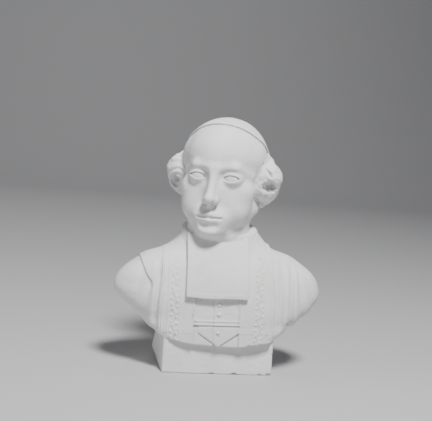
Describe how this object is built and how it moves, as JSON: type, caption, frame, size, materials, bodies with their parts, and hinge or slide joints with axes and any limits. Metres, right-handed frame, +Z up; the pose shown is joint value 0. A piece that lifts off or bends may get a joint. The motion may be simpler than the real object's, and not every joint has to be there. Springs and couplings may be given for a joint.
{
  "type": "plaster portrait bust",
  "caption": "Small plaster bust of a churchman in skull cap, plain neck bands and embroidered stole, cast in one with a plain rectangular block that it stands on.",
  "frame": {"origin": "centre of the block's underside", "axes": "+Z up, the block's front faces -Y and the chest faces nearly so, +X towards the viewer's right; the head is turned towards -X"},
  "size_m": [0.2313, 0.1221, 0.2799],
  "materials": {
    "plaster": null
  },
  "bodies": {
    "root": {"bust": "plaster"}
  },
  "joints": []
}
